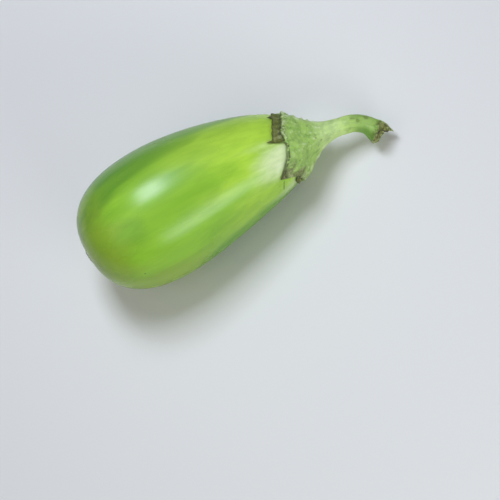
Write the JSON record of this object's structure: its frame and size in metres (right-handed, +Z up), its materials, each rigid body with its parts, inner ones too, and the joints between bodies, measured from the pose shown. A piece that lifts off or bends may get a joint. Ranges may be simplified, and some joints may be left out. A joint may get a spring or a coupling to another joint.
{
  "type": "eggplant",
  "caption": "Pale green egg-shaped eggplant lying on its side, with a lobed calyx gripping its shoulder and a short curved cut stalk.",
  "frame": {"origin": "on the surface that the eggplant lies on, at the middle of its small flat spot", "axes": "+Z up, +X along the fruit from the blossom end to the stalk, +Y to the side that the stalk bends away from"},
  "size_m": [0.1857, 0.0783, 0.0786],
  "materials": {
    "green_skin": "smooth waxy vegetable skin, lime green with soft darker streaks and a cream shoulder, glossy",
    "calyx_green": "dull grey-green plant skin, finely bumpy, with dry olive-brown margins and a brown cut end"
  },
  "bodies": {
    "root": {"fruit": "green_skin", "calyx_and_stalk": "calyx_green"}
  },
  "joints": []
}
